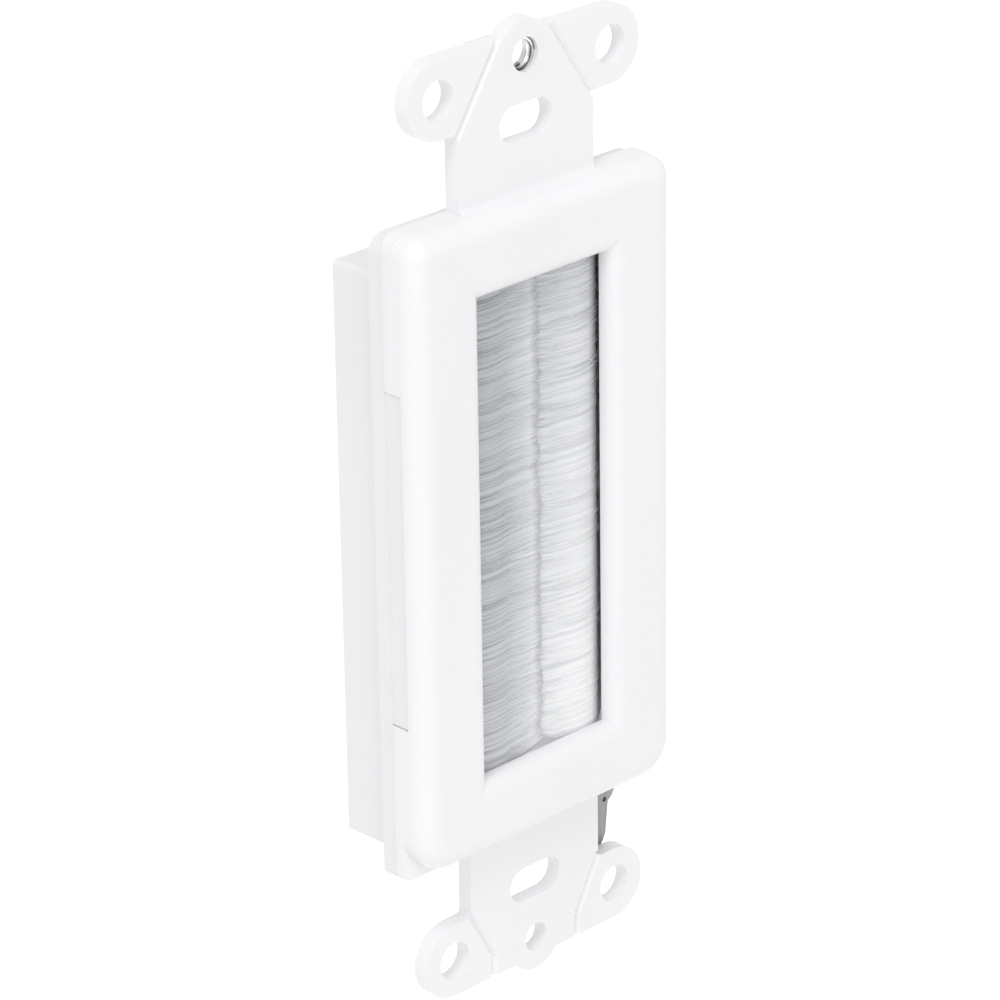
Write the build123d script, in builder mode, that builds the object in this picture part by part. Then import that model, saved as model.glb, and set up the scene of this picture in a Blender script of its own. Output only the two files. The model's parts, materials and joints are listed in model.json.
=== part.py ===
from build123d import *
import math
import os

# A wall plate insert that lets cables through a slot closed by two rows of bristles.
# Millimetres. The origin is the middle of the strap's rear face, which lies on the wall:
# +X is to the right, +Y runs into the wall and +Z is up. The room side has negative y.

# Strap, one thickness of plastic with a neck, two ears and a lug at each end
STRAP_T = 1.8
NECK_HALF_W = 9.4
EAR_X = 11.85
EAR_Z = 46.6
EAR_R = 4.1
EAR_HOLE_R = 2.07
LUG_Z = 48.4
LUG_R = 3.7
NOTCH_R = 0.5
SLOT_Z = 41.67
SLOT_LENGTH = 7.3
SLOT_HEIGHT = 3.8
TOP_HOLE_R = 1.75
LOWER_HOLE_R = 1.55

# Break-off grooves, from the ends of the strap to the notches beside the neck
SCORE_DEPTH = 0.45
TOP_SCORE = [(3.4, 51.1), (9.5, 42.0)]
LOWER_SCORE = [(6.2, 51.1), (6.2, 48.0), (9.5, 42.0)]

# Raised frame in the middle of the strap
FRAME_HALF_W = 18.2
FRAME_HALF_H = 34.3
FRAME_FRONT = -4.7
FRAME_TOP_CORNER_R = 2.3
FRAME_LOWER_CORNER_R = 4.0
FRAME_EDGE_R = 2.2
FRAME_WALL = 1.6
COVE_R = 0.65

# Foot band round the frame, lower than it at the bottom
FOOT_FRONT = -1.3
FOOT_DROP = 1.1
FOOT_TOP_CORNER_R = 1.9
FOOT_LOWER_CORNER_R = 0.8

# Cable window with a rolled rim in the frame's front wall
FRONT_WALL = 1.9
WINDOW_HALF_W = 9.0
WINDOW_HALF_H = 26.0
RIM_R = 1.75

# Latches: tongues of the rear moulding that fill openings in the frame's side walls
LATCH_HALF_H = 18.0
LATCH_FRONT = -2.3
LATCH_GAP = 0.1
LATCH_RECESS = 0.15

# Rear moulding: a flange against the frame and an open box that goes into the wall
FLANGE_T = 1.75
FLANGE_TOP_STEP = 0.5
COLLAR_FIT = 0.1
COLLAR_RIB_W = 0.8
COLLAR_RIB_H = 1.0
SLEEVE_HALF_W = 17.0
SLEEVE_TOP = 29.3
SLEEVE_BOTTOM = -33.1
SLEEVE_REAR = 8.2
SLEEVE_CORNER_R = 0.6
SLEEVE_WALL = 1.5
RAIL_T = 0.6
RAIL_REACH = 2.2
RAIL_STOP = 1.2
RAIL_WEB_W = 2.6
RAIL_WEB_T = 1.6
RAIL_WEB_Y = 3.6

# Brushes: on each side a folded channel, tilted towards the room, grips the bristles over a core wire
CHANNEL_X = 11.5
CHANNEL_Y = 3.2
CHANNEL_TILT = 40
CHANNEL_W = 3.5
CHANNEL_DEPTH = 2.8
CHANNEL_HALF_H = 27.4
CHANNEL_T = 0.4
WIRE_R = 0.4
BRISTLE_T = CHANNEL_DEPTH - 2 * CHANNEL_T
BRISTLE_HALF_H = 26.8
BRISTLE_BEND_R = 6.0
BRISTLE_Y = -1.4
TIP_T = 0.95
TIP_STEP_X = 1.8
TIP_PITCH = 1.2
TIP_OVERLAP = 1.2
TIP_RAGGED = 1.0

# Steel pieces held behind the strap by moulded stakes
STEEL_T = 0.8
NUT_COLLAR_R = 2.35
NUT_COLLAR_FRONT = -1.3
NUT_ENTRY_R = 0.7
NUT_LUG_R = 2.9
NUT_HALF_W = 6.2
NUT_TOP = 50.4
NUT_BOTTOM = 43.9
STEEL_CORNER_R = 0.8
STAKE_R = 0.9
STAKE_HEAD_R = 1.5
STAKE_HEAD_T = 0.7
STAKE_HEAD_TAPER = -20
HOLE_FIT = 0.05
NUT_STAKES = [(-4.6, 45.5), (4.6, 45.5)]
CLIP_STAKES = [(7.0, -38.2), (7.0, -41.6)]
CLIP_OUTLINE = [
    (5.0, -36.0),
    (13.2, -36.0),
    (13.85, -36.3),
    (13.75, -36.75),
    (13.4, -37.35),
    (12.8, -37.8),
    (12.6, -39.5),
    (12.4, -41.4),
    (12.0, -42.2),
    (11.3, -43.0),
    (10.2, -43.4),
    (5.0, -43.4),
]
CLIP_HOLE = (12.25, -37.45)
CLIP_HOLE_R = 0.28


def wall_plane(y):
    """Drawing plane parallel to the wall at depth y, with +X to the right and +Z up."""
    return Plane.XZ.offset(-y)


def both_ends(x, z):
    """The four points that mirror one point across the middle of the strap."""
    return [(x, z), (-x, z), (x, -z), (-x, -z)]


def near(value, target):
    return abs(value - target) < 0.01


def groove(points, side, end):
    """Cuts a V groove through the mirrored points on the strap's front face."""
    placed = [(side * x, -STRAP_T, end * z) for x, z in points]
    for start, stop in zip(placed, placed[1:]):
        run = Vector(stop) - Vector(start)
        with BuildSketch(Plane(origin=start, x_dir=(0, 1, 0), z_dir=run)) as section:
            RegularPolygon(SCORE_DEPTH, 4)
        extrude(section.sketch, amount=run.length, mode=Mode.SUBTRACT)


def frame_outline(top, bottom, top_corner_r, lower_corner_r):
    """Draws the frame's outline between two heights, with unlike corners above and below."""
    with BuildSketch(mode=Mode.PRIVATE) as outline:
        with Locations((0, (top + bottom) / 2)):
            Rectangle(2 * FRAME_HALF_W, top - bottom)
        fillet(outline.vertices().group_by(Axis.Y)[-1], top_corner_r)
        fillet(outline.vertices().group_by(Axis.Y)[0], lower_corner_r)
    add(outline.sketch)


def stakes(places):
    """Adds the moulded stakes that hold a steel piece, each with a domed head behind it."""
    with BuildSketch(wall_plane(STEEL_T)) as shanks:
        with Locations(*places):
            Circle(STAKE_R)
    extrude(shanks.sketch, amount=STEEL_T + HOLE_FIT)
    with BuildSketch(wall_plane(STEEL_T + STAKE_HEAD_T)) as heads:
        with Locations(*places):
            Circle(STAKE_HEAD_R)
    extrude(heads.sketch, amount=STAKE_HEAD_T, taper=STAKE_HEAD_TAPER)


def channel_plane(side, z):
    """Plane across one channel at height z: its x axis runs from the mouth into the channel."""
    turn = math.radians(CHANNEL_TILT)
    into = (side * math.cos(turn), math.sin(turn), 0)
    return Plane(origin=(side * CHANNEL_X, CHANNEL_Y, z), x_dir=into, z_dir=(0, 0, 1))


os.makedirs("parts", exist_ok=True)

# Front moulding: strap and raised frame in one piece
with BuildPart() as front_frame:
    with BuildSketch(wall_plane(FOOT_FRONT)):
        frame_outline(FRAME_HALF_H, -FRAME_HALF_H, FRAME_TOP_CORNER_R, FRAME_LOWER_CORNER_R)
    extrude(amount=FOOT_FRONT - FRAME_FRONT)
    fillet(front_frame.faces().sort_by(Axis.Y)[0].edges(), FRAME_EDGE_R)
    with BuildSketch(wall_plane(0)):
        frame_outline(FRAME_HALF_H, -FRAME_HALF_H - FOOT_DROP, FOOT_TOP_CORNER_R, FOOT_LOWER_CORNER_R)
    extrude(amount=-FOOT_FRONT)

    # Strap ends
    with BuildSketch(wall_plane(0)) as strap:
        ear_bottom = EAR_Z - EAR_R
        ear_top = EAR_Z + EAR_R
        with Locations((0, (FRAME_HALF_H + ear_top) / 2 - FRAME_WALL / 2)):
            Rectangle(2 * NECK_HALF_W, ear_top - FRAME_HALF_H + FRAME_WALL)
        with Locations((0, EAR_Z)):
            Rectangle(2 * EAR_X, 2 * EAR_R)
        with Locations((EAR_X, EAR_Z), (-EAR_X, EAR_Z)):
            Circle(EAR_R)
        with Locations((0, LUG_Z)):
            Circle(LUG_R)
        notches = strap.vertices().filter_by(
            lambda v: near(abs(v.X), NECK_HALF_W) and near(v.Y, ear_bottom)
        )
        valleys = strap.vertices().filter_by(lambda v: abs(v.X) < LUG_R and near(v.Y, ear_top))
        fillet(notches + valleys, NOTCH_R)
        mirror(about=Plane.XZ)
        with Locations(*both_ends(EAR_X, EAR_Z)):
            Circle(EAR_HOLE_R, mode=Mode.SUBTRACT)
        with Locations((0, SLOT_Z), (0, -SLOT_Z)):
            SlotOverall(SLOT_LENGTH, SLOT_HEIGHT, mode=Mode.SUBTRACT)
        with Locations((0, LUG_Z)):
            Circle(TOP_HOLE_R, mode=Mode.SUBTRACT)
        with Locations((0, -LUG_Z)):
            Circle(LOWER_HOLE_R, mode=Mode.SUBTRACT)
    extrude(amount=STRAP_T)

    # Soft cove where each neck meets the frame
    coves = front_frame.edges().filter_by(Axis.X).filter_by(
        lambda e: near(e.center().Y, -STRAP_T) and near(abs(e.center().Z), FRAME_HALF_H)
    )
    fillet(coves, COVE_R)

    # Break-off grooves beside the necks
    for side in (1, -1):
        groove(TOP_SCORE, side, 1)
        groove(LOWER_SCORE, side, -1)

    # Hollow behind the front wall
    with BuildSketch(wall_plane(0)):
        RectangleRounded(2 * (FRAME_HALF_W - FRAME_WALL), 2 * (FRAME_HALF_H - FRAME_WALL), 1)
    extrude(amount=-FRAME_FRONT - FRONT_WALL, mode=Mode.SUBTRACT)

    # Cable window and its rolled rim
    with BuildSketch(wall_plane(0)):
        Rectangle(2 * WINDOW_HALF_W, 2 * WINDOW_HALF_H)
    extrude(amount=-FRAME_FRONT, mode=Mode.SUBTRACT)
    rim = front_frame.edges().filter_by(
        lambda e: near(e.center().Y, FRAME_FRONT)
        and (near(abs(e.center().X), WINDOW_HALF_W) or near(abs(e.center().Z), WINDOW_HALF_H))
    )
    fillet(rim, RIM_R)

    # Latch openings in the side walls
    with BuildSketch(wall_plane(0)):
        Rectangle(2 * FRAME_HALF_W + 2, 2 * LATCH_HALF_H)
        Rectangle(2 * (FRAME_HALF_W - FRAME_WALL) - 1, 2 * LATCH_HALF_H, mode=Mode.SUBTRACT)
    extrude(amount=-LATCH_FRONT, mode=Mode.SUBTRACT)

    # Seat for the nut's collar, and the stakes for the steel pieces
    with BuildSketch(wall_plane(0)):
        with Locations((0, LUG_Z)):
            Circle(NUT_COLLAR_R + HOLE_FIT)
    extrude(amount=-NUT_COLLAR_FRONT, mode=Mode.SUBTRACT)
    stakes(NUT_STAKES + CLIP_STAKES)

front_frame.part.label = "front_frame"
export_step(front_frame.part, "parts/front_frame.step")

# Rear moulding: flange, locating collar, latch tongues and the box behind
with BuildPart() as rear_sleeve:
    with BuildSketch(wall_plane(FLANGE_T)):
        flange_top = FRAME_HALF_H - FLANGE_TOP_STEP
        frame_outline(flange_top, -FRAME_HALF_H - FOOT_DROP, FOOT_TOP_CORNER_R, FOOT_LOWER_CORNER_R)
    extrude(amount=FLANGE_T)
    collar_half_w = FRAME_HALF_W - FRAME_WALL - COLLAR_FIT
    collar_half_h = FRAME_HALF_H - FRAME_WALL - COLLAR_FIT
    with BuildSketch(wall_plane(0)):
        RectangleRounded(2 * collar_half_w, 2 * collar_half_h, 1)
        Rectangle(2 * (collar_half_w - COLLAR_RIB_W), 2 * (collar_half_h - COLLAR_RIB_W), mode=Mode.SUBTRACT)
    extrude(amount=COLLAR_RIB_H)
    tongue_outer = FRAME_HALF_W - LATCH_RECESS
    tongue_w = tongue_outer - collar_half_w + COLLAR_RIB_W
    tongue_x = tongue_outer - tongue_w / 2
    with BuildSketch(wall_plane(0)):
        with Locations((tongue_x, 0), (-tongue_x, 0)):
            Rectangle(tongue_w, 2 * (LATCH_HALF_H - LATCH_GAP))
    extrude(amount=-LATCH_FRONT - LATCH_GAP)
    with BuildSketch(wall_plane(SLEEVE_REAR)):
        with Locations((0, (SLEEVE_TOP + SLEEVE_BOTTOM) / 2)):
            RectangleRounded(2 * SLEEVE_HALF_W, SLEEVE_TOP - SLEEVE_BOTTOM, SLEEVE_CORNER_R)
    extrude(amount=SLEEVE_REAR - FLANGE_T)
    with BuildSketch(wall_plane(SLEEVE_REAR)):
        with Locations((0, (SLEEVE_TOP + SLEEVE_BOTTOM) / 2)):
            Rectangle(2 * (SLEEVE_HALF_W - SLEEVE_WALL), SLEEVE_TOP - SLEEVE_BOTTOM - 2 * SLEEVE_WALL)
    extrude(amount=SLEEVE_REAR, mode=Mode.SUBTRACT)

    # Rails along the box's long sides, each with a groove that takes a brush channel
    for side in (1, -1):
        rail_w = RAIL_REACH + RAIL_T
        rail_x = CHANNEL_W / 2 + RAIL_T - rail_w / 2
        with BuildSketch(channel_plane(side, -CHANNEL_HALF_H - RAIL_STOP)):
            with Locations((rail_x, 0)):
                Rectangle(rail_w, CHANNEL_DEPTH + 2 * RAIL_T)
        extrude(amount=2 * CHANNEL_HALF_H + RAIL_STOP)
        with BuildSketch(Plane.XY.offset(-CHANNEL_HALF_H - RAIL_STOP)):
            with Locations((side * (SLEEVE_HALF_W - SLEEVE_WALL - RAIL_WEB_W / 2), RAIL_WEB_Y)):
                Rectangle(RAIL_WEB_W, RAIL_WEB_T)
        extrude(amount=2 * CHANNEL_HALF_H + RAIL_STOP)
        with BuildSketch(channel_plane(side, -CHANNEL_HALF_H)):
            Rectangle(CHANNEL_W, CHANNEL_DEPTH)
        extrude(amount=2 * CHANNEL_HALF_H, mode=Mode.SUBTRACT)

rear_sleeve.part.label = "rear_sleeve"
export_step(rear_sleeve.part, "parts/rear_sleeve.step")


def tip_outline(side):
    """Outline of one row's ragged tips, seen from the front, from its root to past the middle."""
    count = round(2 * BRISTLE_HALF_H / TIP_PITCH)
    start = side * TIP_STEP_X
    points = [(start, BRISTLE_HALF_H)]
    for i in range(count + 1):
        z = BRISTLE_HALF_H - 2 * BRISTLE_HALF_H * i / count
        ragged = TIP_RAGGED * abs(math.sin(2.4 * i) * math.sin(0.9 * i + 0.5))
        points.append((-side * (TIP_OVERLAP - ragged), z))
    points.append((start, -BRISTLE_HALF_H))
    return points


for name, side in (("left", -1), ("right", 1)):
    # Folded channel, open towards the middle and the room
    with BuildPart() as channel:
        with BuildSketch(channel_plane(side, -CHANNEL_HALF_H)):
            Rectangle(CHANNEL_W, CHANNEL_DEPTH)
            with Locations((-CHANNEL_T, 0)):
                Rectangle(CHANNEL_W, BRISTLE_T, mode=Mode.SUBTRACT)
        extrude(amount=2 * CHANNEL_HALF_H)
    channel.part.label = f"{name}_channel"
    export_step(channel.part, f"parts/{name}_channel.step")

    # Core wire that the bristles are folded over
    wire_x = CHANNEL_W / 2 - CHANNEL_T - WIRE_R
    with BuildPart() as wire:
        with BuildSketch(channel_plane(side, -CHANNEL_HALF_H)):
            with Locations((wire_x, 0)):
                Circle(WIRE_R)
        extrude(amount=2 * CHANNEL_HALF_H)
    wire.part.label = f"{name}_core_wire"
    export_step(wire.part, f"parts/{name}_core_wire.step")

    # Row of bristles: it leaves the channel, bends flat behind the window and laps the other row
    turn = math.radians(CHANNEL_TILT)
    root_reach = wire_x - WIRE_R
    bend_reach = (CHANNEL_Y - BRISTLE_Y) / math.sin(turn)
    root = (side * (CHANNEL_X + root_reach * math.cos(turn)), CHANNEL_Y + root_reach * math.sin(turn))
    bend = (side * (CHANNEL_X - bend_reach * math.cos(turn)), BRISTLE_Y)
    with BuildPart() as bristles:
        with BuildSketch(Plane.XY.offset(-BRISTLE_HALF_H)):
            with BuildLine():
                FilletPolyline(root, bend, (side * TIP_STEP_X, BRISTLE_Y), radius=BRISTLE_BEND_R)
            trace(line_width=BRISTLE_T)
        extrude(amount=2 * BRISTLE_HALF_H)
        tip_rear = BRISTLE_Y + BRISTLE_T / 2
        if side < 0:
            tip_rear = BRISTLE_Y - BRISTLE_T / 2 + TIP_T
        with BuildSketch(wall_plane(tip_rear)):
            with BuildLine():
                Polyline(*tip_outline(side), close=True)
            make_face()
        extrude(amount=TIP_T)
    bristles.part.label = f"{name}_bristles"
    export_step(bristles.part, f"parts/{name}_bristles.step")

# Nut plate behind the upper lug, its threaded collar drawn forward into the lug
with BuildPart() as nut_plate:
    with BuildSketch(wall_plane(STEEL_T)):
        with Locations((0, (NUT_TOP + NUT_BOTTOM) / 2)):
            RectangleRounded(2 * NUT_HALF_W, NUT_TOP - NUT_BOTTOM, STEEL_CORNER_R)
        with Locations((0, LUG_Z)):
            Circle(NUT_LUG_R)
        with Locations(*NUT_STAKES):
            Circle(STAKE_R + HOLE_FIT, mode=Mode.SUBTRACT)
    extrude(amount=STEEL_T)
    with BuildSketch(wall_plane(0)):
        with Locations((0, LUG_Z)):
            Circle(NUT_COLLAR_R)
    extrude(amount=-NUT_COLLAR_FRONT)
    with BuildSketch(wall_plane(STEEL_T)):
        with Locations((0, LUG_Z)):
            Circle(TOP_HOLE_R)
    extrude(amount=STEEL_T - NUT_COLLAR_FRONT, mode=Mode.SUBTRACT)
    entry = nut_plate.edges().filter_by(GeomType.CIRCLE).filter_by(
        lambda e: near(e.radius, TOP_HOLE_R) and near(e.center().Y, STEEL_T)
    )
    fillet(entry, NUT_ENTRY_R)

nut_plate.part.label = "nut_plate"
export_step(nut_plate.part, "parts/nut_plate.step")

# Steel clip beside the lower neck, with a small wing at its upper corner and a pierced hole
with BuildPart() as side_clip:
    with BuildSketch(wall_plane(STEEL_T)):
        with BuildLine():
            Polyline(*CLIP_OUTLINE, close=True)
        make_face()
        with Locations(*CLIP_STAKES):
            Circle(STAKE_R + HOLE_FIT, mode=Mode.SUBTRACT)
        with Locations(CLIP_HOLE):
            Circle(CLIP_HOLE_R, mode=Mode.SUBTRACT)
    extrude(amount=STEEL_T)

side_clip.part.label = "side_clip"
export_step(side_clip.part, "parts/side_clip.step")
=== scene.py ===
import json
import math
import random

import bmesh
import bpy
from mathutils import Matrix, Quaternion, Vector


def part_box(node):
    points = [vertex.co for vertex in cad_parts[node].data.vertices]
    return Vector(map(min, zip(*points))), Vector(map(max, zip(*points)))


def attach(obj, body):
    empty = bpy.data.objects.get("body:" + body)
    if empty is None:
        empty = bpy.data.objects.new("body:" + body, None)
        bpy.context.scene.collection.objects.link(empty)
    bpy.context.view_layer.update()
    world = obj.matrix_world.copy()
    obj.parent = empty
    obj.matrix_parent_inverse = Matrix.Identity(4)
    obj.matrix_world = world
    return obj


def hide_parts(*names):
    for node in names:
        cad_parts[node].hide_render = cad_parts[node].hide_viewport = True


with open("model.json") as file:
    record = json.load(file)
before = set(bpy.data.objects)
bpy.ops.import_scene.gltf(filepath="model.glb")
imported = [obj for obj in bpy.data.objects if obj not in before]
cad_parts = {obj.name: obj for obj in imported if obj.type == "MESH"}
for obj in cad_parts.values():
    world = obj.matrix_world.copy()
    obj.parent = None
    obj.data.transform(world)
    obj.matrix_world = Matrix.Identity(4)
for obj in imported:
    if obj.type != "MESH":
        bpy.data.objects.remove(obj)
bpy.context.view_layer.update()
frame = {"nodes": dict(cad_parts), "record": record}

MM = 0.001
NODES = frame["nodes"]

# Camera, from the photograph: where it looks, from where, and how far it leans
CAMERA_AIM = (-1.63, 0.96, 1.09)
CAMERA_AZIMUTH = 44.62
CAMERA_ELEVATION = 23.29
CAMERA_DISTANCE = 487.0
CAMERA_ROLL = -0.86
CAMERA_LENS = 173.75
SENSOR_W = 36.0
CAMERA_NEAR = 10.0

# Stage
FLOOR_Z = -150.0
FLOOR_HALF = 4000.0
FLOOR_LOW = (0.93, 0.93, 0.93)
FLOOR_HIGH = (0.95, 0.95, 0.95)
FLOOR_ROUGH = 0.9
STAGE_GLOW = 0.45

# Light, with the lamps' places and widths in metres
WORLD_LEVEL = 0.78
KEY_PLACE = (-0.55, -0.35, 0.95)
KEY_WIDTH = 0.4
KEY_POWER = 3.8
FRONT_PLACE = (-0.35, -0.89, 0.3)
FRONT_WIDTH = 0.6
FRONT_POWER = 1.0

# Fineness of the textures, per metre
FLOW_SCALE = 55
FLOW_STRETCH = (1, 1, 0.35)
WEAR_SCALE = 400
GRAIN_SCALE = 5200
GRAIN_DETAIL = 2.0
METAL_SCALE = 900
STREAK_SCALE = 2200
STREAK_DETAIL = 3.0
FLOOR_SCALE = 3

# Tones of a metal piece between which its colour changes; on the thread they run from painted shade to
# painted light
TONE_RUN = (0.15, 0.8)

# Depth of the finest relief, in metres
GRAIN_DEPTH = 0.00003
MARK_DEPTH = 0.00002
STREAK_DEPTH = 0.00003

# Light inside the white plastic
GLOW_SHARE = 0.12
GLOW_RADIUS = (1.0, 0.9, 0.8)
GLOW_DEPTH = 0.0012

# Bristle rows, on the same path as their solids
CHANNEL_X = 11.5
CHANNEL_Y = 3.2
CHANNEL_TILT = 40
BRISTLE_Y = -1.4
ROOT_REACH = 0.4
BEND_R = 6.0
MOUTH_REACH = 2.15
ARC_STEPS = 4
FLAT_STEPS = 4
TIP_THIN = 0.5
LAP_SHARE = 0.5
END_CLEAR = 0.1

# How far a row fans out past the channel's mouth, and the few bristles that fan out more
FAN_REACH = 2.9
FAN = 2.95
LOOSE_FAN = 1.08
LOOSE_SHARE = 0.1

# Packed bristles under the separate ones, as a sheet
SHEET_STEP = 0.25
SHEET_SHARE = 0.9
SHEET_SHORT = 0.15

# Separate bristles, half sunk in the sheet's faces
BRISTLE_R = 0.045
BRISTLE_SIDES = 4
BRISTLE_COUNT = 1300
BRISTLE_SHORT = 0.1
BRISTLE_SUNK = 0.05
BRISTLE_PROUD = 0.01
TIP_R = 0.7

# Uneven tips and leans, and the lifted lower end of each row with the height it spans
TUFT_H = 0.9
TIP_SPREAD = 0.3
TUFT_SPREAD = 0.3
LEAN_SPREAD = 0.25
TUFT_LEAN = 0.14
ROW_LEAN = {-1: -0.05, 1: 0.0}
LOWER_LIFT = {-1: (1.3, 8.0), 1: (2.0, 3.5)}
SEED = 7

# Nylon, from the greyest to the whitest, and each row's tone by the distance from the middle; the tone
# keys and the fade below paint shade
NYLON_LOW = (0.4, 0.415, 0.435)
NYLON_HIGH = (0.97, 0.975, 0.985)
NYLON_ROUGH = (0.3, 0.5)
NYLON_IOR = 1.53
STREAK_TONE = 0.2
STREAK_BUMP = 0.12
STREAK_STRETCH = (0.08, 0.3, 1)
TONE_SPREAD = 0.045
# Painted shade from the top rim: each row darker towards its top and lighter towards its bottom, by this
# share of its tone
ROW_TOP_SHADE = {-1: 0.1, 1: 0.22}
# Painted shade in the tone keys: the left row darker towards its roots in the left rim's shade, the right
# row darker by the seam under the left row's tips and towards the right rim
ROW_TONE_AND_SHADE = {
    -1: [(0.7, 0.54), (1.9, 0.38), (3.0, 0.3), (4.2, 0.22), (5.4, 0.18)],
    1: [(0.8, 0.56), (2.5, 0.54), (4.5, 0.64), (5.6, 0.7), (7.5, 0.68), (8.8, 0.7), (10.0, 0.5)],
}

# Screw thread in the nut plate, with half the ridge's foot as a share of the pitch
THREAD_R = 1.75
THREAD_DEPTH = 0.3
THREAD_PITCH = 0.794
THREAD_FOOT = 0.48
THREAD_FRONT = -1.3
THREAD_REAR = 0.15
THREAD_Z = 48.4
THREAD_STEPS = 36


# Materials


def new_material(name):
    """A node material, its node tree and its shader."""
    material = bpy.data.materials.new(name)
    material.use_nodes = True
    tree = material.node_tree
    return material, tree, tree.nodes["Principled BSDF"]


def noise(tree, scale, stretch=(1, 1, 1), detail=4.0):
    """Noise in object coordinates, with its scale given per metre."""
    place = tree.nodes.new("ShaderNodeTexCoord")
    mapping = tree.nodes.new("ShaderNodeMapping")
    mapping.inputs["Scale"].default_value = stretch
    node = tree.nodes.new("ShaderNodeTexNoise")
    node.inputs["Scale"].default_value = scale
    node.inputs["Detail"].default_value = detail
    tree.links.new(place.outputs["Object"], mapping.inputs["Vector"])
    tree.links.new(mapping.outputs["Vector"], node.inputs["Vector"])
    return node.outputs["Fac"]


def ramp(tree, source, low, high, start=0.3, end=0.7):
    """Maps a value to a run between two colours."""
    node = tree.nodes.new("ShaderNodeValToRGB")
    first, last = node.color_ramp.elements
    first.position = start
    first.color = (*low, 1)
    last.position = end
    last.color = (*high, 1)
    tree.links.new(source, node.inputs["Fac"])
    return node.outputs["Color"]


def map_range(tree, source, low, high):
    """Maps a value from 0 to 1 to a run between two others."""
    node = tree.nodes.new("ShaderNodeMapRange")
    node.inputs["To Min"].default_value = low
    node.inputs["To Max"].default_value = high
    tree.links.new(source, node.inputs["Value"])
    return node.outputs["Result"]


def math_node(tree, operation, first, second):
    """Joins two values; the second may be a plain number."""
    node = tree.nodes.new("ShaderNodeMath")
    node.operation = operation
    tree.links.new(first, node.inputs[0])
    if isinstance(second, float):
        node.inputs[1].default_value = second
    else:
        tree.links.new(second, node.inputs[1])
    return node.outputs["Value"]


def bump(tree, shader, height, strength, distance):
    """Fine relief on the shader's normal."""
    node = tree.nodes.new("ShaderNodeBump")
    node.inputs["Strength"].default_value = strength
    node.inputs["Distance"].default_value = distance
    tree.links.new(height, node.inputs["Height"])
    tree.links.new(node.outputs["Normal"], shader.inputs["Normal"])


def moulded_plastic(name, low, high, rough, grain):
    """White injection-moulded plastic: faint flow marks, a fine grain and soft gloss."""
    material, tree, shader = new_material(name)
    flow = noise(tree, FLOW_SCALE, FLOW_STRETCH)
    wear = noise(tree, WEAR_SCALE)
    tree.links.new(ramp(tree, flow, low, high), shader.inputs["Base Color"])
    tree.links.new(map_range(tree, wear, *rough), shader.inputs["Roughness"])
    bump(tree, shader, noise(tree, GRAIN_SCALE, detail=GRAIN_DETAIL), grain, GRAIN_DEPTH)
    shader.inputs["Subsurface Weight"].default_value = GLOW_SHARE
    shader.inputs["Subsurface Radius"].default_value = GLOW_RADIUS
    shader.inputs["Subsurface Scale"].default_value = GLOW_DEPTH
    return material


def tone_value(tree):
    """The tone kept in a piece's mesh, from 0 to 1, which carries painted shade and light."""
    tone = tree.nodes.new("ShaderNodeVertexColor")
    tone.layer_name = "tone"
    split = tree.nodes.new("ShaderNodeSeparateColor")
    tree.links.new(tone.outputs["Color"], split.inputs["Color"])
    return split.outputs["Red"]


def metal(name, low, high, rough, stretch, grain, metallic=1.0, toned=False):
    """Plated or rolled sheet metal with fine marks along one direction; when toned, its colour follows the
    tone kept in the mesh, which paints shade and light.
    """
    material, tree, shader = new_material(name)
    marks = noise(tree, METAL_SCALE, stretch)
    if toned:
        colour = ramp(tree, tone_value(tree), low, high, *TONE_RUN)
    else:
        colour = ramp(tree, marks, low, high)
    tree.links.new(colour, shader.inputs["Base Color"])
    tree.links.new(map_range(tree, marks, *rough), shader.inputs["Roughness"])
    bump(tree, shader, marks, grain, MARK_DEPTH)
    shader.inputs["Metallic"].default_value = metallic
    return material


def nylon(name):
    """White nylon: the tone kept in the mesh, which holds painted shade, with fine streaks along the
    bristles.
    """
    material, tree, shader = new_material(name)
    streak = noise(tree, STREAK_SCALE, STREAK_STRETCH, STREAK_DETAIL)
    shift = map_range(tree, streak, -STREAK_TONE, STREAK_TONE)
    total = math_node(tree, "ADD", tone_value(tree), shift)
    colour = ramp(tree, total, NYLON_LOW, NYLON_HIGH, 0.0, 1.0)
    tree.links.new(colour, shader.inputs["Base Color"])
    tree.links.new(map_range(tree, streak, *NYLON_ROUGH), shader.inputs["Roughness"])
    bump(tree, shader, streak, STREAK_BUMP, STREAK_DEPTH)
    shader.inputs["IOR"].default_value = NYLON_IOR
    return material


def seen_rays(tree):
    """1 for rays from the camera, a reflection or a clear part, and 0 for light on the object."""
    seen = tree.nodes.new("ShaderNodeLightPath")
    rays = seen.outputs["Is Camera Ray"]
    for kind in ("Is Glossy Ray", "Is Transmission Ray"):
        rays = math_node(tree, "MAXIMUM", rays, seen.outputs[kind])
    return rays


def white_stage(name):
    """Pale floor that the camera, reflections and clear parts see as white."""
    material, tree, shader = new_material(name)
    colour = ramp(tree, noise(tree, FLOOR_SCALE), FLOOR_LOW, FLOOR_HIGH)
    tree.links.new(colour, shader.inputs["Base Color"])
    shader.inputs["Roughness"].default_value = FLOOR_ROUGH
    shader.inputs["Emission Color"].default_value = (1, 1, 1, 1)
    glow = math_node(tree, "MULTIPLY", seen_rays(tree), STAGE_GLOW)
    tree.links.new(glow, shader.inputs["Emission Strength"])
    return material


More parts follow.
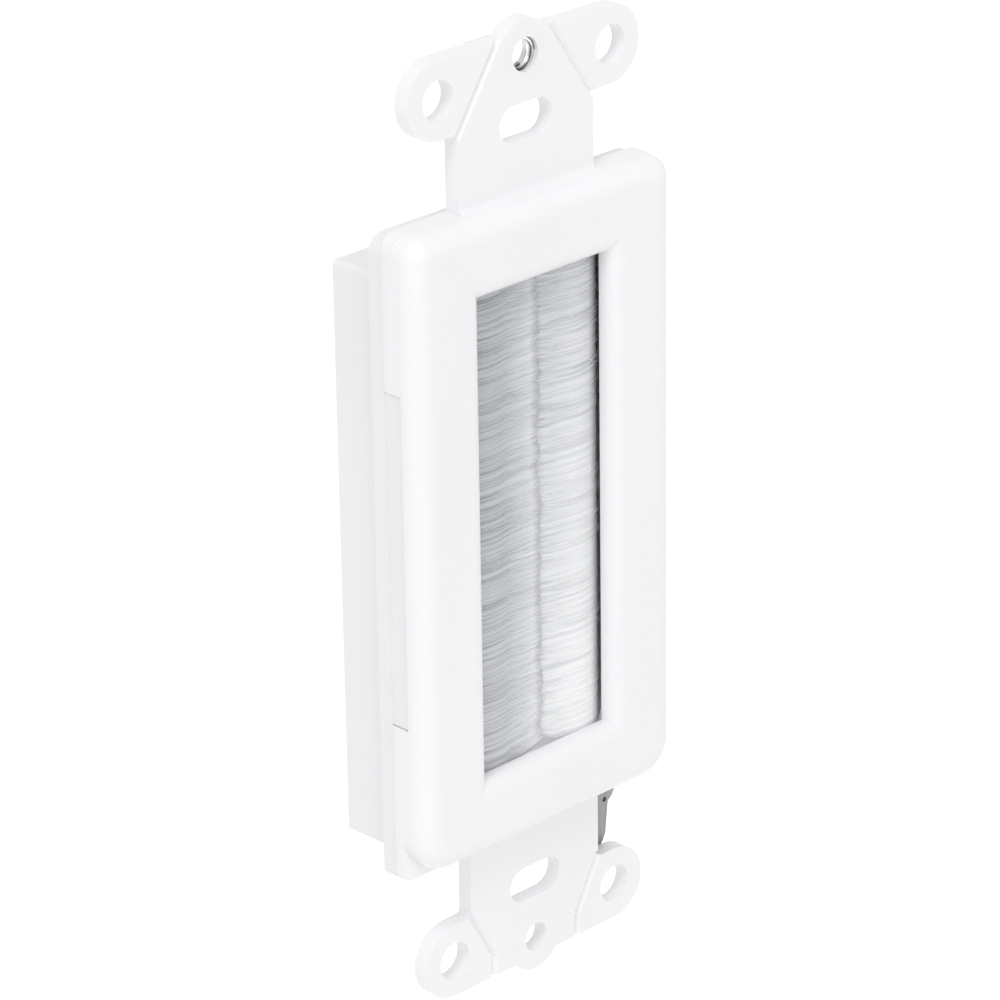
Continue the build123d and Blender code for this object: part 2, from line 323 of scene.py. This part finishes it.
front_plastic = moulded_plastic(
    "front_plastic",
    low=(0.845, 0.845, 0.86),
    high=(0.87, 0.87, 0.885),
    rough=(0.3, 0.42),
    grain=0.12,
)
rear_plastic = moulded_plastic(
    "rear_plastic",
    low=(0.8, 0.8, 0.815),
    high=(0.83, 0.83, 0.845),
    rough=(0.4, 0.55),
    grain=0.18,
)
# Channel colour near white and barely metallic: painted light, lifting the shaded strip between the brush
# and the right rim
channel_metal_painted_light = metal(
    "channel_aluminium",
    low=(0.85, 0.85, 0.87),
    high=(0.93, 0.93, 0.95),
    rough=(0.55, 0.7),
    stretch=(1, 1, 0.03),
    grain=0.15,
    metallic=0.2,
)
steel = metal(
    "zinc_steel",
    low=(0.52, 0.55, 0.55),
    high=(0.68, 0.7, 0.7),
    rough=(0.28, 0.45),
    stretch=(1, 1, 0.05),
    grain=0.2,
)
# Darker copy of the zinc steel for the side clip: painted shade, the clip's shaded side
clip_steel_painted_shade = metal(
    "clip_steel_painted_shade",
    low=(0.22, 0.225, 0.23),
    high=(0.34, 0.345, 0.35),
    rough=(0.3, 0.45),
    stretch=(1, 1, 0.04),
    grain=0.3,
)
# Thread colour from near black in the ridge's roots to near white on its crest: painted shade in the
# roots, painted light on the crest
thread_painted_shade_and_light = metal(
    "thread_painted_shade_and_light",
    low=(0.05, 0.05, 0.055),
    high=(0.95, 0.95, 0.95),
    rough=(0.2, 0.3),
    stretch=(1, 1, 1),
    grain=0.1,
    toned=True,
)
bristle_nylon = nylon("bristle_nylon")

FINISH = {
    "front_plastic": front_plastic,
    "rear_plastic": rear_plastic,
    "channel_aluminium": channel_metal_painted_light,
    "steel": steel,
    "bristle_nylon": bristle_nylon,
}


def dress(node, material):
    """Gives a carried-over node its material."""
    node.data.materials.clear()
    node.data.materials.append(material)


for entry in frame["record"]["subparts"]:
    dress(NODES[entry["node"]], FINISH[entry["material_slot"]])
# The side clip takes the darker copy of the steel, which is painted shade
dress(NODES["side_clip"], clip_steel_painted_shade)


# Pieces


def mesh_piece(name, points, faces, material):
    """A new piece of the object from points in metres, riding on the row's one body."""
    mesh = bpy.data.meshes.new(name)
    mesh.from_pydata(points, [], faces)
    shape = bmesh.new()
    shape.from_mesh(mesh)
    bmesh.ops.recalc_face_normals(shape, faces=shape.faces)
    shape.to_mesh(mesh)
    shape.free()
    mesh.materials.append(material)
    piece = bpy.data.objects.new(name, mesh)
    bpy.context.scene.collection.objects.link(piece)
    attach(piece, "root")
    return piece


def ring_faces(first, size, count):
    """Faces of a closed skin through rings of points, from the number of its first point."""
    faces = []
    for n in range(count - 1):
        low = first + n * size
        for k in range(size):
            j = (k + 1) % size
            faces.append((low + k, low + j, low + size + j, low + size + k))
    last = first + (count - 1) * size
    faces.append(tuple(first + k for k in reversed(range(size))))
    faces.append(tuple(last + k for k in range(size)))
    return faces


def add_tube(points, faces, path, radius, sides, taper):
    """Adds a thin closed tube along a path to the lists of points and faces."""
    faces += ring_faces(len(points), sides, len(path))
    for i, place in enumerate(path):
        ahead = path[min(i + 1, len(path) - 1)] - path[max(i - 1, 0)]
        across = ahead.cross(Vector((0, 0, 1))).normalized()
        above = across.cross(ahead).normalized()
        r = radius * (1 - (1 - taper) * i / (len(path) - 1))
        for k in range(sides):
            a = 2 * math.pi * k / sides
            points.append(place + across * (r * math.cos(a)) + above * (r * math.sin(a)))


def tone_piece(piece, tones):
    """Keeps one tone for each point of a piece, for its material to read."""
    tone = piece.data.color_attributes.new("tone", "FLOAT_COLOR", "POINT")
    for value, colour in zip(tones, tone.data):
        colour.color = (value, value, value, 1)


class Row:
    """Space, tufts and tones, with painted shade, of one bristle row in millimetres; side is -1 on the
    left, 1 on the right.
    """

    def __init__(self, side, name):
        low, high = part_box(name)
        self.side = side
        self.tip = (high.x if side < 0 else -low.x) / MM
        self.half_t = -low.y / MM + BRISTLE_Y - BRISTLE_R
        self.half_h = (high.z - low.z) / 2 / MM - END_CLEAR - BRISTLE_R
        self.rng = random.Random(SEED + side)
        gauss = self.rng.gauss
        count = math.ceil(2 * self.half_h / TUFT_H) + 2
        self.tufts = [(abs(gauss(0, TUFT_SPREAD)), gauss(0, TUFT_LEAN)) for n in range(count)]

    def tuft(self, z):
        """How much shorter the bristles at a height are, and how far their tips lean up."""
        place = (z + self.half_h) / TUFT_H
        n = int(place)
        share = place - n
        return [a + (b - a) * share for a, b in zip(self.tufts[n], self.tufts[n + 1])]

    def path(self, deep, reach, fan):
        """Centre line of a bristle at a depth of -1 to 1 in the row, from root to tip.

        Each point's third value says how far along the flat part it lies, from 0 to 1.
        """
        turn = math.radians(CHANNEL_TILT)
        out = Vector((-math.cos(turn), -math.sin(turn)))
        root = Vector((CHANNEL_X, CHANNEL_Y)) - out * ROOT_REACH
        bend = root + out * ((BRISTLE_Y - root.y) / out.y)
        flat_start = bend.x - BEND_R * math.tan(turn / 2)
        centre = Vector((flat_start, BRISTLE_Y + BEND_R))
        places = [(root, turn, 1.0), (root + out * MOUTH_REACH, turn, 1.0)]
        places.append((root + out * FAN_REACH, turn, fan))
        for i in range(ARC_STEPS + 1):
            share = 1 - i / ARC_STEPS
            angle = turn * share
            arc = centre + BEND_R * Vector((math.sin(angle), -math.cos(angle)))
            places.append((arc, angle, 1 + (fan - 1) * share))
        for i in range(FLAT_STEPS):
            x = flat_start + (-reach - flat_start) * (i + 1) / FLAT_STEPS
            places.append((Vector((x, BRISTLE_Y)), 0, 1.0))
        lap = -self.side * self.half_t * LAP_SHARE
        path = []
        for place, angle, spread in places:
            along = max(0.0, (flat_start - place.x) / (flat_start + reach))
            blend = along * along * (3 - 2 * along)
            offset = deep * self.half_t * spread * (1 - TIP_THIN * blend) + lap * blend
            flat = place + Vector((math.sin(angle), -math.cos(angle))) * offset
            path.append(Vector((flat.x, flat.y, along)))
        return path

    def placed(self, path, z, lean):
        """Points of a centre line at a height, in metres, with the lean and the lower end's lift."""
        lift, lift_span = LOWER_LIFT[self.side]
        near_end = max(0.0, 1 - (z + self.half_h) / lift_span)
        rise = ROW_LEAN[self.side] + lean + lift * near_end * near_end
        heights = [max(-self.half_h, min(self.half_h, z + rise * place.z)) for place in path]
        return [Vector((self.side * p.x, p.y, height)) * MM for p, height in zip(path, heights)]

    def tone(self, x, z):
        """Tone by the distance from the middle and the height, as painted shade: the left row darker
        towards its roots, the right row darker by the seam and by the right rim, and both darker towards
        the top and lighter towards the bottom.
        """
        keys = ROW_TONE_AND_SHADE[self.side]
        tone = keys[-1][1]
        for (near, low), (far, high) in zip(keys, keys[1:]):
            if x < far:
                tone = low + (high - low) * max(0.0, (x - near) / (far - near))
                break
        # Painted shade: darker towards the top of the row, lighter towards the bottom
        return tone - ROW_TOP_SHADE[self.side] * z / self.half_h


def add_sheet(row, points, faces, tones):
    """The packed bristles of a row, as one closed skin."""
    rows = round(2 * row.half_h / SHEET_STEP)
    for n in range(rows + 1):
        z = -row.half_h + 2 * row.half_h * n / rows
        short, lean = row.tuft(z)
        reach = row.tip - SHEET_SHORT - short - row.rng.uniform(0, TIP_SPREAD)
        front = row.path(SHEET_SHARE, reach, FAN)
        rear = row.path(-SHEET_SHARE, reach, FAN)
        ring = front + rear[::-1]
        points += row.placed(ring, z, lean)
        tones += [row.tone(p.x, z) for p in ring]
    faces += ring_faces(0, len(ring), rows + 1)


def add_bristles(row, points, faces, tones):
    """The separate bristles on a row's faces, two in three of them at the front."""
    rng = row.rng
    for n in range(BRISTLE_COUNT):
        z = rng.uniform(-row.half_h, row.half_h)
        short, tuft_lean = row.tuft(z)
        reach = row.tip - BRISTLE_SHORT - short - abs(rng.gauss(0, TIP_SPREAD))
        lean = tuft_lean + rng.gauss(0, LEAN_SPREAD)
        face = rng.choice((-1, 1, 1))
        deep = face * rng.uniform(SHEET_SHARE - BRISTLE_SUNK, SHEET_SHARE + BRISTLE_PROUD)
        loose = rng.random() < LOOSE_SHARE
        fan = FAN * rng.uniform(1, LOOSE_FAN if loose else 1)
        path = row.path(deep, reach, fan)
        add_tube(points, faces, row.placed(path, z, lean), BRISTLE_R * MM, BRISTLE_SIDES, TIP_R)
        own = rng.gauss(0, TONE_SPREAD)
        tones += [row.tone(p.x, z) + own for p in path for k in range(BRISTLE_SIDES)]


def bristle_row(side):
    """One row of bristles, fanned out past the channel's mouth, in place of its solid."""
    name = "left_bristles" if side < 0 else "right_bristles"
    row = Row(side, name)
    points, faces, tones = [], [], []
    add_sheet(row, points, faces, tones)
    add_bristles(row, points, faces, tones)
    piece = mesh_piece(name.replace("bristles", "bristle_row"), points, faces, bristle_nylon)
    tone_piece(piece, tones)
    piece.data.polygons.foreach_set("use_smooth", [True] * len(piece.data.polygons))
    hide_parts(name)


def screw_thread():
    """Helical ridge on the wall of the nut plate's collar."""
    turns = (THREAD_REAR - THREAD_FRONT) / THREAD_PITCH
    count = round(turns * THREAD_STEPS)
    section = [(THREAD_R, -THREAD_FOOT), (THREAD_R - THREAD_DEPTH, 0.0), (THREAD_R, THREAD_FOOT)]
    points = []
    for i in range(count + 1):
        a = 2 * math.pi * i / THREAD_STEPS
        y = THREAD_FRONT + (THREAD_REAR - THREAD_FRONT) * i / count
        for r, shift in section:
            along = max(THREAD_FRONT, min(THREAD_REAR, y + shift * THREAD_PITCH))
            points.append(Vector((r * math.cos(a), along, THREAD_Z + r * math.sin(a))) * MM)
    faces = ring_faces(0, len(section), count + 1)
    piece = mesh_piece("nut_thread", points, faces, thread_painted_shade_and_light)
    # Tone 0 at the ridge's foot and 1 at its crest: painted shade in the roots and painted light on the
    # crest
    tone_piece(piece, [0.0, 1.0, 0.0] * (count + 1))


bristle_row(-1)
bristle_row(1)
screw_thread()


# Stage, light and camera


def make_floor():
    """Flat floor well below the object."""
    half = FLOOR_HALF * MM
    z = FLOOR_Z * MM
    corners = [(-half, -half, z), (half, -half, z), (half, half, z), (-half, half, z)]
    mesh = bpy.data.meshes.new("floor")
    mesh.from_pydata(corners, [], [range(len(corners))])
    mesh.materials.append(white_stage("floor"))
    floor = bpy.data.objects.new("floor", mesh)
    bpy.context.scene.collection.objects.link(floor)


def make_world():
    """Even light all round, which the camera, reflections and clear parts see as white."""
    world = bpy.data.worlds.new("studio")
    bpy.context.scene.world = world
    world.use_nodes = True
    tree = world.node_tree
    sky = tree.nodes["Background"]
    sky.inputs["Color"].default_value = (1, 1, 1, 1)
    tree.links.new(map_range(tree, seen_rays(tree), WORLD_LEVEL, 1.0), sky.inputs["Strength"])


def soft_box(name, place, width, power):
    """A square lamp that faces the object's middle."""
    light = bpy.data.lights.new(name, "AREA")
    light.size = width
    light.energy = power
    lamp = bpy.data.objects.new(name, light)
    lamp.location = place
    lamp.rotation_euler = (-Vector(place)).to_track_quat("-Z", "Y").to_euler()
    bpy.context.scene.collection.objects.link(lamp)


def make_camera():
    """The photograph's camera."""
    data = bpy.data.cameras.new("camera")
    data.sensor_width = SENSOR_W
    data.lens = CAMERA_LENS
    data.clip_start = CAMERA_NEAR * MM
    camera = bpy.data.objects.new("camera", data)
    azimuth = math.radians(CAMERA_AZIMUTH)
    elevation = math.radians(CAMERA_ELEVATION)
    away = Vector((
        -math.sin(azimuth) * math.cos(elevation),
        -math.cos(azimuth) * math.cos(elevation),
        math.sin(elevation),
    ))
    aim = Vector(CAMERA_AIM) * MM
    camera.location = aim + away * CAMERA_DISTANCE * MM
    camera.rotation_mode = "QUATERNION"
    roll = Quaternion((0, 0, 1), math.radians(CAMERA_ROLL))
    camera.rotation_quaternion = (-away).to_track_quat("-Z", "Y") @ roll
    bpy.context.scene.collection.objects.link(camera)
    bpy.context.scene.camera = camera


make_floor()
make_world()
soft_box("key", KEY_PLACE, KEY_WIDTH, KEY_POWER)
soft_box("front", FRONT_PLACE, FRONT_WIDTH, FRONT_POWER)
make_camera()
bpy.context.scene.view_settings.view_transform = "Standard"
